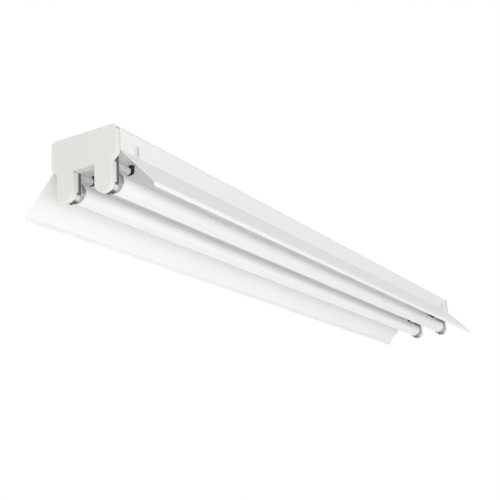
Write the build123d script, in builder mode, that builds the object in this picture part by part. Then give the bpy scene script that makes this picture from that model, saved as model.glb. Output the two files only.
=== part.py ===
"""Two-lamp LED tube fixture: steel channel, folded reflector, end plates with lampholders, two T8 LED tubes.

Millimetres. X runs across, Y along the tubes, Z up. The origin is the centre of the channel's top face,
which is the face that meets the ceiling. The front end is at -Y, the back end at +Y.
"""
import os
from build123d import *

# Tube: a four-foot T8 lamp with a G13 base, measured from base face to base face
TUBE_LENGTH = 1199.4
TUBE_DIAMETER = 25.6
TUBE_WALL = 1.0
CAP_WALL = 0.5
CAP_LENGTH = 7.0
PIN_SPACING = 12.7
PIN_DIAMETER = 2.35
PIN_LENGTH = 7.0
PIN_BASE_THICKNESS = 2.0
SPINE_CHORD_RISE = 3.5
SPINE_WALL = 1.2
SPINE_CLEARANCE = 0.1
LED_BOARD_WIDTH = 18.0
LED_BOARD_THICKNESS = 1.0
LED_SIZE = (2.8, 3.5, 0.7)
LED_PITCH = 23.0
LED_END_MARGIN = 24.0
DRIVER_SIZE = (9.6, 64.0, 3.4)
DRIVER_END_GAP = 10.0

# Tube places
LAMP_SPACING = 58.0
LAMP_DROP = 64.8

# Channel
CHANNEL_WIDTH = 98.4
CHANNEL_DEPTH = 31.8
CHANNEL_SHEET = 1.0
CHANNEL_BEND = 6.0
CHANNEL_LIP = 12.0
FIXING_SPACING = 610.0
FIXING_HOLE_DIAMETER = 7.0
CABLE_ENTRY_Y = 80.0
CABLE_BUSHING_DIAMETER = 22.0
CABLE_BORE_DIAMETER = 16.0
CABLE_BUSHING_LENGTH = 9.0
CABLE_FLANGE_WIDTH = 2.5
CABLE_FLANGE_THICKNESS = 1.5
KNOCKOUT_DIAMETER = 22.0
KNOCKOUT_GROOVE = 0.6
KNOCKOUT_DEPTH = 0.4
KNOCKOUT_INSET = 130.0

# End plates
END_SHEET = 0.8
END_BEND = 0.7
SIDE_FLANGE_DEPTH = 6.5
SIDE_DROP = 36.5
SKIRT_DROP = 45.0
LEG_WIDTH = 25.0
LEG_DEPTH = 10.5
LEG_LIP_DEPTH = 7.5
LEG_BELOW_LAMP = 17.2
LEG_CORNER = 12.0
TOP_FLANGE_DEPTH = 14.0
TOP_FLANGE_WIDTH = 80.0
SHELF_DEPTH = 14.0
SHELF_RELIEF = 1.0

# Lampholders
LAMPHOLDER_FACE = 16.6
LAMPHOLDER_CLEARANCE = 0.1
LAMPHOLDER_ABOVE_LAMP = 28.5
COVER_THICKNESS = 6.9
TUBE_END_GAP = 0.4
ROTOR_DIAMETER = 18.0
ROTOR_FLANGE = 2.6
ROTOR_BASE = 1.0
ROTOR_CLEARANCE = 0.05
ROTOR_SLOT_CLEARANCE = 0.35
DRUM_CLEARANCE = 0.45
ENTRY_SLOT_CLEARANCE = 0.85
CONTACT_GAP = 0.35
CONTACT_THICKNESS = 0.5
CONTACT_WIDTH = 4.0
CONTACT_HALF_HEIGHT = 3.5
CONTACT_FLOOR = 0.4

# Lamp leads
SLEEVE_DIAMETER = 10.6
SLEEVE_BORE = 7.0
SLEEVE_LENGTH = 34.0
SLEEVE_TUBE_GAP = 3.7
BOOT_DIAMETER = 6.8
BOOT_BORE = 4.0
BOOT_STRAIGHT = 2.0
BOOT_ELBOW_RADIUS = 4.5
BOOT_NECK_DIAMETER = 6.0
BOOT_NECK_CLEARANCE = 0.1
BOOT_FLANGE_DIAMETER = 8.0
BOOT_FLANGE_THICKNESS = 1.0
BOOT_LOCK_DIAMETER = 7.4
BOOT_LOCK_THICKNESS = 1.6
LEAD_DIAMETER = 3.0
LEAD_DEPTH = 6.0
LEAD_BEND_RADIUS = 12.0
LEAD_TAIL = 4.0
CLIP_SIZE = (8.0, 6.0)
CLIP_SPACING = 620.0
CLIP_CLEARANCE = 0.1
CLIP_WALL = 1.5

# Reflector
REFLECTOR_SHEET = 0.8
REFLECTOR_BEND = 2.0
REFLECTOR_INSET = 8.0
WING_RUN = 47.7
WING_DROP = 57.0
WING_LIP = 6.0
HOOK_WIDTH = 9.0
HOOK_HEIGHT = 14.0
HOOK_NOSE = 3.0
HOOK_NOSE_THICKNESS = 1.6
HOOK_CLEARANCE = 0.3
HOOK_INSET = 40.0

# Fasteners and terminal
SCREW_DIAMETER = 4.0
SCREW_HEAD_DIAMETER = 7.6
SCREW_HEAD_HEIGHT = 2.4
SCREW_SLOT = 1.0
SCREW_CLEARANCE = 0.1
END_SCREW_SPACING = 50.0
END_SCREW_INSET = 8.0
REFLECTOR_SCREW_SPACING = 400.0
REFLECTOR_SCREW_GRIP = 6.0
TERMINAL_WIDTH = 78.0
TERMINAL_LENGTH = 22.0
TERMINAL_HEIGHT = 16.0
TERMINAL_OFFSET = 50.0
TERMINAL_SCREW_DIAMETER = 4.6
TERMINAL_SCREW_HEIGHT = 1.2
TERMINAL_ROW_SPACING = 11.0
TERMINAL_POLE_SPACING = 20.0
TERMINAL_POLES = 4
EARTH_EDGE_DISTANCE = 14.0

# Derived sizes
TUBE_INSET = LAMPHOLDER_FACE + TUBE_END_GAP
FIXTURE_LENGTH = TUBE_LENGTH + 2 * TUBE_INSET
END_Y = FIXTURE_LENGTH / 2
CHANNEL_LENGTH = FIXTURE_LENGTH - 2 * END_SHEET
PLATE_HALF = CHANNEL_WIDTH / 2 + END_SHEET
LEG_BOTTOM = LAMP_DROP + LEG_BELOW_LAMP
LEG_INNER = (LAMP_SPACING - LEG_WIDTH) / 2
LEG_OUTER = (LAMP_SPACING + LEG_WIDTH) / 2
TUBE_RADIUS = TUBE_DIAMETER / 2
CAP_RADIUS = TUBE_RADIUS + CAP_WALL
PIN_SWEEP = (PIN_SPACING + PIN_DIAMETER) / 2
DRUM_RADIUS = PIN_SWEEP
CAVITY_RADIUS = DRUM_RADIUS + DRUM_CLEARANCE
ROTOR_BACK = LAMPHOLDER_FACE - ROTOR_FLANGE
PIN_TIP = TUBE_INSET - PIN_LENGTH
LEAD_LEVEL = -LAMP_DROP + CAP_RADIUS + SLEEVE_TUBE_GAP + SLEEVE_DIAMETER / 2
BOOT_START = LAMPHOLDER_FACE + SLEEVE_LENGTH
BOOT_RISE = BOOT_START + BOOT_STRAIGHT + BOOT_ELBOW_RADIUS
FLAT_TOP = -CHANNEL_DEPTH
FLAT_UNDER = FLAT_TOP - REFLECTOR_SHEET
LIP_TOP = -CHANNEL_DEPTH + CHANNEL_SHEET
LIP_CENTRE = CHANNEL_WIDTH / 2 - CHANNEL_LIP / 2
TERMINAL_Y = CABLE_ENTRY_Y + TERMINAL_OFFSET
EARTH_X = CHANNEL_WIDTH / 2 - EARTH_EDGE_DISTANCE
LAMP_XS = {"left": -LAMP_SPACING / 2, "right": LAMP_SPACING / 2}


def end_plane(inset):
    """Plane square to the tubes, inset from the front end's outer face, with local x across and local y up."""
    return Plane.XZ.offset(END_Y - inset)


def save(builder, name):
    """Name a finished piece and write it as its own file."""
    builder.part.label = name
    export_step(builder.part, f"parts/{name}.step")


def save_both_ends(builder, name):
    """Write a front-end piece and its mirror image at the back end."""
    save(builder, f"{name}_front")
    with BuildPart() as back:
        mirror(builder.part, about=Plane.XZ)
    save(back, f"{name}_back")


def make_channel():
    """Folded C channel with its fixing holes, cable entry, knock-out rings and hook slots."""
    hook_y = END_Y - HOOK_INSET
    slot_z = FLAT_TOP + HOOK_HEIGHT - HOOK_NOSE_THICKNESS / 2
    with BuildPart() as channel:
        with BuildSketch(Plane.XZ) as section:
            with Locations((0, -CHANNEL_DEPTH / 2)):
                Rectangle(CHANNEL_WIDTH, CHANNEL_DEPTH)
            fillet(section.vertices().group_by(Axis.Y)[-1], CHANNEL_BEND)
            offset(amount=-CHANNEL_SHEET, kind=Kind.INTERSECTION, mode=Mode.SUBTRACT)
            with Locations((0, LIP_TOP - CHANNEL_SHEET / 2)):
                Rectangle(CHANNEL_WIDTH - 2 * CHANNEL_LIP, CHANNEL_SHEET, mode=Mode.SUBTRACT)
        extrude(amount=CHANNEL_LENGTH / 2, both=True)
        with GridLocations(0, FIXING_SPACING, 1, 2):
            Hole(FIXING_HOLE_DIAMETER / 2, CHANNEL_SHEET)
        with Locations((0, CABLE_ENTRY_Y)):
            Hole(CABLE_BUSHING_DIAMETER / 2, CHANNEL_SHEET)
        with GridLocations(END_SCREW_SPACING, 2 * (END_Y - END_SCREW_INSET), 2, 2):
            Hole(SCREW_DIAMETER / 2 + SCREW_CLEARANCE, CHANNEL_SHEET)
        with Locations((EARTH_X, CABLE_ENTRY_Y)):
            Hole(SCREW_DIAMETER / 2 + SCREW_CLEARANCE, CHANNEL_SHEET)
        with Locations((0, 0, LIP_TOP)):
            with GridLocations(2 * LIP_CENTRE, REFLECTOR_SCREW_SPACING, 2, 3):
                Hole(SCREW_DIAMETER / 2 + SCREW_CLEARANCE, CHANNEL_SHEET)
        with BuildSketch(Plane.XY):
            with GridLocations(0, 2 * (END_Y - KNOCKOUT_INSET), 1, 2):
                Circle(KNOCKOUT_DIAMETER / 2)
                Circle(KNOCKOUT_DIAMETER / 2 - KNOCKOUT_GROOVE, mode=Mode.SUBTRACT)
        extrude(amount=-KNOCKOUT_DEPTH, mode=Mode.SUBTRACT)
        with Locations((0, 0, slot_z)):
            with GridLocations(CHANNEL_WIDTH, hook_y, 2, 3):
                Box(4 * CHANNEL_SHEET, HOOK_WIDTH + 2 * HOOK_CLEARANCE,
                    HOOK_NOSE_THICKNESS + 2 * HOOK_CLEARANCE, mode=Mode.SUBTRACT)
    return channel


def make_reflector():
    """Folded sheet: flat centre under the channel, two wings with lips, hook tabs lanced up beside the channel."""
    root = CHANNEL_WIDTH / 2 + REFLECTOR_SHEET
    tip = root + WING_RUN
    tip_z = FLAT_TOP - WING_DROP
    hook_y = END_Y - HOOK_INSET
    nose_z = FLAT_TOP + HOOK_HEIGHT - HOOK_NOSE_THICKNESS / 2
    with BuildPart() as reflector:
        with BuildSketch(Plane.XZ):
            with BuildLine():
                FilletPolyline(
                    (-tip, tip_z), (-tip, tip_z + WING_LIP), (-root, FLAT_TOP),
                    (root, FLAT_TOP), (tip, tip_z + WING_LIP), (tip, tip_z),
                    radius=REFLECTOR_BEND,
                )
                offset(amount=REFLECTOR_SHEET, side=Side.RIGHT)
            make_face()
        extrude(amount=END_Y - REFLECTOR_INSET, both=True)
        with Locations((0, 0, FLAT_TOP)):
            with GridLocations(LAMP_SPACING, 2 * (END_Y - BOOT_RISE), 2, 2):
                Hole(BOOT_NECK_DIAMETER / 2 + BOOT_NECK_CLEARANCE, REFLECTOR_SHEET)
            with GridLocations(2 * LIP_CENTRE, REFLECTOR_SCREW_SPACING, 2, 3):
                Hole(SCREW_DIAMETER / 2 + SCREW_CLEARANCE, REFLECTOR_SHEET)
        tab_x = CHANNEL_WIDTH / 2 + REFLECTOR_SHEET / 2
        foot = REFLECTOR_SHEET + REFLECTOR_BEND
        with Locations((0, 0, FLAT_TOP + (HOOK_HEIGHT - foot) / 2)):
            with GridLocations(2 * tab_x, hook_y, 2, 3):
                Box(REFLECTOR_SHEET, HOOK_WIDTH, HOOK_HEIGHT + foot)
        with Locations((0, 0, nose_z)):
            with GridLocations(CHANNEL_WIDTH + REFLECTOR_SHEET - HOOK_NOSE, hook_y, 2, 3):
                Box(HOOK_NOSE + REFLECTOR_SHEET, HOOK_WIDTH, HOOK_NOSE_THICKNESS)
    return reflector


def make_end_plate():
    """Front end plate: flat face with two legs, flanges round the channel and the lampholders, a folded shelf."""
    with BuildPart() as plate:
        with BuildSketch(end_plane(0)) as outline:
            with BuildLine():
                Polyline(
                    (0, 0), (PLATE_HALF, 0), (PLATE_HALF, -SIDE_DROP), (LEG_OUTER, -SKIRT_DROP),
                    (LEG_OUTER, -LEG_BOTTOM), (LEG_INNER, -LEG_BOTTOM), (LEG_INNER, -SKIRT_DROP), (0, -SKIRT_DROP),
                )
                mirror(about=Plane.YZ)
            make_face()
            corners = [v for v in outline.vertices().group_by(Axis.Y)[-1] if abs(v.X) > LEG_INNER]
            fillet(corners, CHANNEL_BEND + END_SHEET)
            fillet(outline.vertices().group_by(Axis.Y)[0], LEG_CORNER)
        extrude(amount=-END_SHEET)
        side_height = SIDE_DROP - CHANNEL_BEND - END_SHEET
        with BuildSketch(end_plane(0)):
            with Locations((0, -SIDE_DROP + side_height / 2)):
                with GridLocations(2 * PLATE_HALF - END_SHEET, 0, 2, 1):
                    Rectangle(END_SHEET, side_height)
        extrude(amount=-SIDE_FLANGE_DEPTH)
        leg_height = LEG_BOTTOM - SKIRT_DROP - LEG_CORNER
        with BuildSketch(end_plane(0)):
            for x in LAMP_XS.values():
                with Locations((x, -SKIRT_DROP - leg_height / 2)):
                    with GridLocations(LEG_WIDTH - END_SHEET, 0, 2, 1):
                        Rectangle(END_SHEET, leg_height)
        extrude(amount=-LEG_DEPTH)
        front_edges = plate.edges().filter_by(Axis.Z).group_by(Axis.Y)[0]
        fillet(front_edges, END_BEND)
        lip_top = -LEG_BOTTOM + LEG_CORNER + END_SHEET
        for x in LAMP_XS.values():
            with BuildSketch(end_plane(END_SHEET)):
                with BuildLine():
                    FilletPolyline(
                        (x - LEG_WIDTH / 2, lip_top), (x - LEG_WIDTH / 2, -LEG_BOTTOM),
                        (x + LEG_WIDTH / 2, -LEG_BOTTOM), (x + LEG_WIDTH / 2, lip_top),
                        radius=LEG_CORNER,
                    )
                    offset(amount=END_SHEET, side=Side.LEFT)
                make_face()
            extrude(amount=END_SHEET - LEG_LIP_DEPTH)
        with BuildSketch(end_plane(0)):
            with BuildLine():
                Polyline(
                    (PLATE_HALF, -SIDE_DROP), (LEG_OUTER, -SKIRT_DROP), (LEG_OUTER - END_SHEET, -SKIRT_DROP),
                    (PLATE_HALF - END_SHEET, -SIDE_DROP), close=True,
                )
            make_face()
            mirror(about=Plane.YZ)
        extrude(amount=-SIDE_FLANGE_DEPTH)
        with BuildSketch(end_plane(0)):
            with Locations((0, -CHANNEL_SHEET - END_SHEET / 2)):
                Rectangle(TOP_FLANGE_WIDTH, END_SHEET)
        extrude(amount=-TOP_FLANGE_DEPTH)
        with BuildSketch(end_plane(0)):
            with Locations((0, -SKIRT_DROP + END_SHEET / 2)):
                Rectangle(2 * (LEG_INNER - SHELF_RELIEF), END_SHEET)
        extrude(amount=-SHELF_DEPTH)
        with Locations((0, -END_Y + END_SCREW_INSET, -CHANNEL_SHEET)):
            with GridLocations(END_SCREW_SPACING, 0, 2, 1):
                Hole(SCREW_DIAMETER / 2 + SCREW_CLEARANCE, END_SHEET)
    return plate


def lampholder_outline(x):
    """Outline of a lampholder inside its leg, with a rounded foot, drawn in the sketch that is open."""
    margin = END_SHEET + LAMPHOLDER_CLEARANCE
    bottom = LEG_BELOW_LAMP - margin
    with BuildSketch(mode=Mode.PRIVATE) as outline:
        with Locations((x, -LAMP_DROP + (LAMPHOLDER_ABOVE_LAMP - bottom) / 2)):
            Rectangle(LEG_WIDTH - 2 * margin, LAMPHOLDER_ABOVE_LAMP + bottom)
        fillet(outline.vertices().group_by(Axis.Y)[0], LEG_CORNER - margin)
    add(outline.sketch)


def make_lampholder_body(x):
    """Moulded body: rotor seat, drum cavity, contact pockets, wire chamber and the slot the pins come in by."""
    back = END_SHEET + COVER_THICKNESS
    pocket_width = 2 * (DRUM_RADIUS + CONTACT_GAP + CONTACT_THICKNESS + CONTACT_FLOOR)
    pocket_height = LEAD_LEVEL + LAMP_DROP + SLEEVE_BORE / 2 + CONTACT_HALF_HEIGHT
    slot_width = PIN_DIAMETER + ENTRY_SLOT_CLEARANCE
    with BuildPart() as body:
        with BuildSketch(end_plane(back)):
            lampholder_outline(x)
        extrude(amount=back - LAMPHOLDER_FACE)
        with BuildSketch(end_plane(back)):
            with Locations((x, -LAMP_DROP)):
                Circle(CAVITY_RADIUS)
            with Locations((x, -LAMP_DROP - CONTACT_HALF_HEIGHT + pocket_height / 2)):
                Rectangle(pocket_width, pocket_height)
        extrude(amount=back - ROTOR_BACK + ROTOR_CLEARANCE, mode=Mode.SUBTRACT)
        with BuildSketch(end_plane(LAMPHOLDER_FACE)):
            with Locations((x, -LAMP_DROP)):
                Circle(ROTOR_DIAMETER / 2 + ROTOR_CLEARANCE)
        extrude(amount=ROTOR_FLANGE + ROTOR_CLEARANCE, mode=Mode.SUBTRACT)
        with BuildSketch(end_plane(LAMPHOLDER_FACE)):
            with Locations((x, -LAMP_DROP - LEG_BELOW_LAMP / 2)):
                Rectangle(slot_width, LEG_BELOW_LAMP)
            with Locations((x, LEAD_LEVEL)):
                Circle(SLEEVE_BORE / 2)
        extrude(amount=LAMPHOLDER_FACE - PIN_TIP + ENTRY_SLOT_CLEARANCE, mode=Mode.SUBTRACT)
    return body


def make_lampholder_cover(x):
    """Thick back plate of a lampholder, against the leg's face."""
    with BuildPart() as cover:
        with BuildSketch(end_plane(END_SHEET)):
            lampholder_outline(x)
        extrude(amount=-COVER_THICKNESS)
    return cover


def make_contacts(x):
    """Pair of brass leaves that stand beside the pins and reach up to the wire chamber."""
    back = END_SHEET + COVER_THICKNESS
    height = LEAD_LEVEL + LAMP_DROP + CONTACT_HALF_HEIGHT
    spread = 2 * (DRUM_RADIUS + CONTACT_GAP) + CONTACT_THICKNESS
    with BuildPart() as contacts:
        with BuildSketch(end_plane(back)):
            with Locations((x, -LAMP_DROP - CONTACT_HALF_HEIGHT + height / 2)):
                with GridLocations(spread, 0, 2, 1):
                    Rectangle(CONTACT_THICKNESS, height)
        extrude(amount=-CONTACT_WIDTH)
    return contacts


def make_rotor(x):
    """Slotted rotor: a flange that runs in the lampholder's seat and a drum behind it, joined by a thin base."""
    base = PIN_TIP - ROTOR_BASE - ROTOR_SLOT_CLEARANCE
    with BuildPart() as rotor:
        with BuildSketch(end_plane(LAMPHOLDER_FACE)):
            with Locations((x, -LAMP_DROP)):
                Circle(ROTOR_DIAMETER / 2)
        extrude(amount=ROTOR_FLANGE)
        with BuildSketch(end_plane(LAMPHOLDER_FACE)):
            with Locations((x, -LAMP_DROP)):
                Circle(DRUM_RADIUS)
        extrude(amount=LAMPHOLDER_FACE - base)
        with BuildSketch(end_plane(LAMPHOLDER_FACE)):
            with Locations((x, -LAMP_DROP)):
                Rectangle(ROTOR_DIAMETER, PIN_DIAMETER + ROTOR_SLOT_CLEARANCE)
        extrude(amount=LAMPHOLDER_FACE - base - ROTOR_BASE, mode=Mode.SUBTRACT)
    return rotor


def make_sleeve(x):
    """Light plastic sleeve that leads the wire out of the lampholder, above the tube."""
    with BuildPart() as sleeve:
        with BuildSketch(end_plane(LAMPHOLDER_FACE)):
            with Locations((x, LEAD_LEVEL)):
                Circle(SLEEVE_DIAMETER / 2)
                Circle(SLEEVE_BORE / 2, mode=Mode.SUBTRACT)
        extrude(amount=-SLEEVE_LENGTH)
    return sleeve


def make_boot(x):
    """Black rubber elbow from the sleeve's end up through the reflector, with a flange and a locking collar."""
    rise_y = -END_Y + BOOT_RISE
    flange_z = FLAT_UNDER - BOOT_FLANGE_THICKNESS
    lock_z = FLAT_TOP + BOOT_LOCK_THICKNESS
    with BuildPart() as boot:
        with BuildLine() as run:
            FilletPolyline(
                (x, -END_Y + BOOT_START, LEAD_LEVEL), (x, rise_y, LEAD_LEVEL), (x, rise_y, FLAT_UNDER),
                radius=BOOT_ELBOW_RADIUS,
            )
        with BuildSketch(Plane(run.line @ 0, z_dir=run.line % 0)):
            Circle(BOOT_DIAMETER / 2)
        sweep()
        with BuildSketch(Plane.XY.offset(flange_z)):
            with Locations((x, rise_y)):
                Circle(BOOT_FLANGE_DIAMETER / 2)
        extrude(amount=BOOT_FLANGE_THICKNESS)
        with BuildSketch(Plane.XY.offset(FLAT_UNDER)):
            with Locations((x, rise_y)):
                Circle(BOOT_NECK_DIAMETER / 2)
        extrude(amount=lock_z - FLAT_UNDER)
        with BuildSketch(Plane.XY.offset(FLAT_TOP)):
            with Locations((x, rise_y)):
                Circle(BOOT_LOCK_DIAMETER / 2)
        extrude(amount=BOOT_LOCK_THICKNESS)
        with BuildLine() as bore:
            FilletPolyline(
                (x, -END_Y + BOOT_START, LEAD_LEVEL), (x, rise_y, LEAD_LEVEL), (x, rise_y, lock_z),
                radius=BOOT_ELBOW_RADIUS,
            )
        with BuildSketch(Plane(bore.line @ 0, z_dir=bore.line % 0)):
            Circle(BOOT_BORE / 2)
        sweep(path=bore.line, mode=Mode.SUBTRACT)
    return boot


def make_leads(end_y):
    """Pair of lamp wires, from the lampholders at one end through the boots to the terminal block."""
    with BuildPart() as leads:
        for x in LAMP_XS.values():
            start = -END_Y + LAMPHOLDER_FACE - LEAD_TAIL
            rise = -END_Y + BOOT_RISE
            with BuildLine() as run:
                FilletPolyline(
                    (x, start, LEAD_LEVEL), (x, rise, LEAD_LEVEL), (x, rise, -LEAD_DEPTH), (x, end_y, -LEAD_DEPTH),
                    radius=(BOOT_ELBOW_RADIUS, LEAD_BEND_RADIUS),
                )
            with BuildSketch(Plane(run.line @ 0, z_dir=run.line % 0)):
                Circle(LEAD_DIAMETER / 2)
            sweep(path=run.line)
    return leads


def make_wire_clips():
    """Four small clips under the channel's top, each round one lamp wire."""
    height = LEAD_DEPTH - CHANNEL_SHEET + LEAD_DIAMETER / 2 + CLIP_WALL
    with BuildPart() as clips:
        with Locations((0, 0, -CHANNEL_SHEET)):
            with GridLocations(LAMP_SPACING, CLIP_SPACING, 2, 2):
                Box(CLIP_SIZE[0], CLIP_SIZE[1], height, align=(Align.CENTER, Align.CENTER, Align.MAX))
        with BuildSketch(Plane.XZ):
            with Locations((0, -LEAD_DEPTH)):
                with GridLocations(LAMP_SPACING, 0, 2, 1):
                    Circle(LEAD_DIAMETER / 2 + CLIP_CLEARANCE)
        extrude(amount=CLIP_SPACING, both=True, mode=Mode.SUBTRACT)
    return clips


def make_diffuser(x):
    """Frosted tube between the two pin bases."""
    with BuildPart() as diffuser:
        with BuildSketch(Plane.XZ):
            with Locations((x, -LAMP_DROP)):
                Circle(TUBE_RADIUS)
                Circle(TUBE_RADIUS - TUBE_WALL, mode=Mode.SUBTRACT)
        extrude(amount=TUBE_LENGTH / 2 - PIN_BASE_THICKNESS, both=True)
    return diffuser


def make_cap(x):
    """Aluminium ring round the tube's end and its pin base."""
    with BuildPart() as cap:
        with BuildSketch(end_plane(TUBE_INSET)):
            with Locations((x, -LAMP_DROP)):
                Circle(CAP_RADIUS)
                Circle(TUBE_RADIUS, mode=Mode.SUBTRACT)
        extrude(amount=-CAP_LENGTH)
    return cap


def make_pin_base(x):
    """Insulating disc that carries the pins."""
    with BuildPart() as base:
        with BuildSketch(end_plane(TUBE_INSET)):
            with Locations((x, -LAMP_DROP)):
                Circle(TUBE_RADIUS)
        extrude(amount=-PIN_BASE_THICKNESS)
    return base


def make_pins(x):
    """Pair of contact pins, level with each other when the lamp is locked."""
    with BuildPart() as pins:
        with BuildSketch(end_plane(TUBE_INSET)):
            with Locations((x, -LAMP_DROP)):
                with GridLocations(PIN_SPACING, 0, 2, 1):
                    Circle(PIN_DIAMETER / 2)
        extrude(amount=PIN_LENGTH)
    return pins


def make_spine(x):
    """Hollow D-section that lies in the upper part of the tube."""
    radius = TUBE_RADIUS - TUBE_WALL - SPINE_CLEARANCE
    with BuildPart() as spine:
        with BuildSketch(Plane.XZ):
            with Locations((x, -LAMP_DROP)):
                Circle(radius)
            with Locations((x, -LAMP_DROP + SPINE_CHORD_RISE)):
                Rectangle(2 * radius, 2 * radius, align=(Align.CENTER, Align.MAX), mode=Mode.SUBTRACT)
            offset(amount=-SPINE_WALL, kind=Kind.INTERSECTION, mode=Mode.SUBTRACT)
        extrude(amount=TUBE_LENGTH / 2 - PIN_BASE_THICKNESS, both=True)
    return spine


def make_led_board(x):
    """Circuit board under the spine's flat."""
    with BuildPart() as board:
        with Locations((x, 0, -LAMP_DROP + SPINE_CHORD_RISE)):
            Box(LED_BOARD_WIDTH, TUBE_LENGTH - 2 * LED_END_MARGIN, LED_BOARD_THICKNESS,
                align=(Align.CENTER, Align.CENTER, Align.MAX))
    return board


def make_leds(x):
    """Row of LED packages on the board's lower face."""
    count = int((TUBE_LENGTH - 3 * LED_END_MARGIN) / LED_PITCH)
    with BuildPart() as leds:
        with Locations((x, 0, -LAMP_DROP + SPINE_CHORD_RISE - LED_BOARD_THICKNESS)):
            with GridLocations(0, LED_PITCH, 1, count):
                Box(*LED_SIZE, align=(Align.CENTER, Align.CENTER, Align.MAX))
    return leds


def make_driver(x):
    """Driver board inside the spine, near the front end."""
    first = -END_Y + TUBE_INSET + PIN_BASE_THICKNESS + DRIVER_END_GAP
    with BuildPart() as driver:
        with Locations((x, first, -LAMP_DROP + SPINE_CHORD_RISE + SPINE_WALL)):
            Box(*DRIVER_SIZE, align=(Align.CENTER, Align.MIN, Align.MIN))
    return driver


def make_cable_bushing():
    """Bushing pushed up into the cable entry from inside, flush with the channel's top."""
    with BuildPart() as bushing:
        with BuildSketch(Plane.XY):
            with Locations((0, CABLE_ENTRY_Y)):
                Circle(CABLE_BUSHING_DIAMETER / 2)
        extrude(amount=-CABLE_BUSHING_LENGTH)
        with BuildSketch(Plane.XY.offset(-CHANNEL_SHEET)):
            with Locations((0, CABLE_ENTRY_Y)):
                Circle(CABLE_BUSHING_DIAMETER / 2 + CABLE_FLANGE_WIDTH)
        extrude(amount=-CABLE_FLANGE_THICKNESS)
        with Locations((0, CABLE_ENTRY_Y)):
            Hole(CABLE_BORE_DIAMETER / 2)
    return bushing


def make_terminal_block():
    """Supply terminal under the channel's top."""
    with BuildPart() as block:
        with Locations((0, TERMINAL_Y, -CHANNEL_SHEET)):
            Box(TERMINAL_WIDTH, TERMINAL_LENGTH, TERMINAL_HEIGHT, align=(Align.CENTER, Align.CENTER, Align.MAX))
    return block


def make_screws(places, seat, tip, diameter, head_diameter, head_height):
    """Slotted screws driven upwards: heads under the seat level, shanks up to the tip level."""
    with BuildPart() as screws:
        with BuildSketch(Plane.XY.offset(seat)):
            with Locations(*places):
                Circle(head_diameter / 2)
        extrude(amount=-head_height)
        with BuildSketch(Plane.XY.offset(seat)):
            with Locations(*places):
                Circle(diameter / 2)
        extrude(amount=tip - seat)
        with BuildSketch(Plane.XY.offset(seat - head_height)):
            with Locations(*places):
                Rectangle(head_diameter, SCREW_SLOT)
        extrude(amount=head_height / 2, mode=Mode.SUBTRACT)
    return screws


def grid(spacing_x, spacing_y, count_x, count_y, centre_y=0):
    """Points of a rectangular grid round a centre on the Y axis."""
    return [
        ((i - (count_x - 1) / 2) * spacing_x, centre_y + (j - (count_y - 1) / 2) * spacing_y)
        for i in range(count_x)
        for j in range(count_y)
    ]


os.makedirs("parts", exist_ok=True)

save(make_channel(), "channel")
save(make_reflector(), "reflector")
save_both_ends(make_end_plate(), "end_plate")

for side, lamp_x in LAMP_XS.items():
    save_both_ends(make_lampholder_body(lamp_x), f"lampholder_body_{side}")
    save_both_ends(make_lampholder_cover(lamp_x), f"lampholder_cover_{side}")
    save_both_ends(make_contacts(lamp_x), f"lampholder_contacts_{side}")
    save_both_ends(make_rotor(lamp_x), f"lampholder_rotor_{side}")
    save_both_ends(make_sleeve(lamp_x), f"lead_sleeve_{side}")
    save_both_ends(make_boot(lamp_x), f"lead_boot_{side}")
    save_both_ends(make_cap(lamp_x), f"tube_cap_{side}")
    save_both_ends(make_pin_base(lamp_x), f"tube_pin_base_{side}")
    save_both_ends(make_pins(lamp_x), f"tube_pins_{side}")
    save(make_diffuser(lamp_x), f"tube_diffuser_{side}")
    save(make_spine(lamp_x), f"tube_spine_{side}")
    save(make_led_board(lamp_x), f"tube_led_board_{side}")
    save(make_leds(lamp_x), f"tube_leds_{side}")
    save(make_driver(lamp_x), f"tube_driver_{side}")

save(make_leads(TERMINAL_Y - TERMINAL_LENGTH / 2), "live_leads")
back_run = make_leads(-TERMINAL_Y - TERMINAL_LENGTH / 2)
with BuildPart() as neutral_leads:
    mirror(back_run.part, about=Plane.XZ)
save(neutral_leads, "neutral_leads")
save(make_wire_clips(), "wire_clips")
save(make_cable_bushing(), "cable_bushing")
save(make_terminal_block(), "terminal_block")

terminal_seat = -CHANNEL_SHEET - TERMINAL_HEIGHT
terminal_places = grid(TERMINAL_POLE_SPACING, TERMINAL_ROW_SPACING, TERMINAL_POLES, 2, TERMINAL_Y)
with BuildPart() as terminal_screws:
    with BuildSketch(Plane.XY.offset(terminal_seat)):
        with Locations(*terminal_places):
            Circle(TERMINAL_SCREW_DIAMETER / 2)
    extrude(amount=-TERMINAL_SCREW_HEIGHT)
    with BuildSketch(Plane.XY.offset(terminal_seat - TERMINAL_SCREW_HEIGHT)):
        with Locations(*terminal_places):
            Rectangle(TERMINAL_SCREW_DIAMETER, SCREW_SLOT)
    extrude(amount=TERMINAL_SCREW_HEIGHT / 2, mode=Mode.SUBTRACT)
save(terminal_screws, "terminal_screws")

screw = (SCREW_DIAMETER, SCREW_HEAD_DIAMETER, SCREW_HEAD_HEIGHT)
end_places = grid(END_SCREW_SPACING, 2 * (END_Y - END_SCREW_INSET), 2, 2)
save(make_screws(end_places, -CHANNEL_SHEET - END_SHEET, 0, *screw), "end_plate_screws")
reflector_places = grid(2 * LIP_CENTRE, REFLECTOR_SCREW_SPACING, 2, 3)
save(make_screws(reflector_places, FLAT_UNDER, FLAT_UNDER + REFLECTOR_SCREW_GRIP, *screw), "reflector_screws")
save(make_screws([(EARTH_X, CABLE_ENTRY_Y)], -CHANNEL_SHEET, 0, *screw), "earth_screw")
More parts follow.
